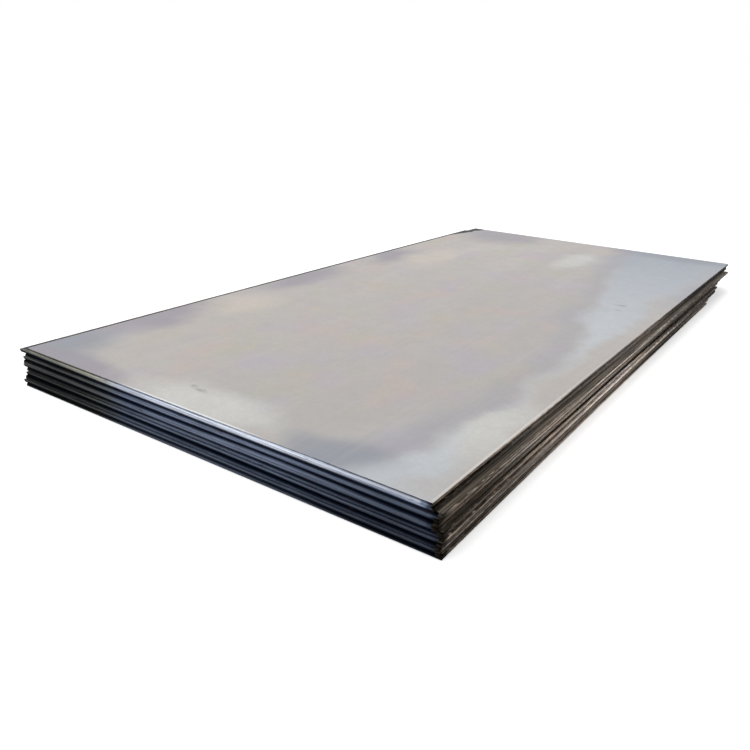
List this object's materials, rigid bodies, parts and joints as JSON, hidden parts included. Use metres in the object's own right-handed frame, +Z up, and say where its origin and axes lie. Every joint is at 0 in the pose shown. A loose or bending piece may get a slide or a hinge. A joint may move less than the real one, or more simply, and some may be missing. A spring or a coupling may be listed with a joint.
{
  "type": "stack of steel plates",
  "caption": "Low stack of large rectangular hot-rolled steel plates with sheared ends and round mill edges, laid flat with their near ends roughly in line.",
  "frame": {"origin": "under the middle of the whole stack's footprint, on the floor", "axes": "+X across the plates, +Y along them, away from the ends that are in line, +Z up"},
  "size_m": [1.5806, 3.0134, 0.132],
  "materials": {
    "rolled_face": "pale matt grey rolled face with bluish margins",
    "mill_scale": "dark mill scale, with blue-black sheared ends, umber mill edges and faint rust"
  },
  "bodies": {
    "root": {"plate_01": "mill_scale", "plate_02": "mill_scale", "plate_03": "mill_scale", "plate_04": "mill_scale", "plate_05": "mill_scale", "plate_06": "mill_scale", "plate_07": "mill_scale", "plate_08": "mill_scale", "plate_09": "mill_scale", "plate_10": "mill_scale", "plate_11": "rolled_face"}
  },
  "joints": []
}
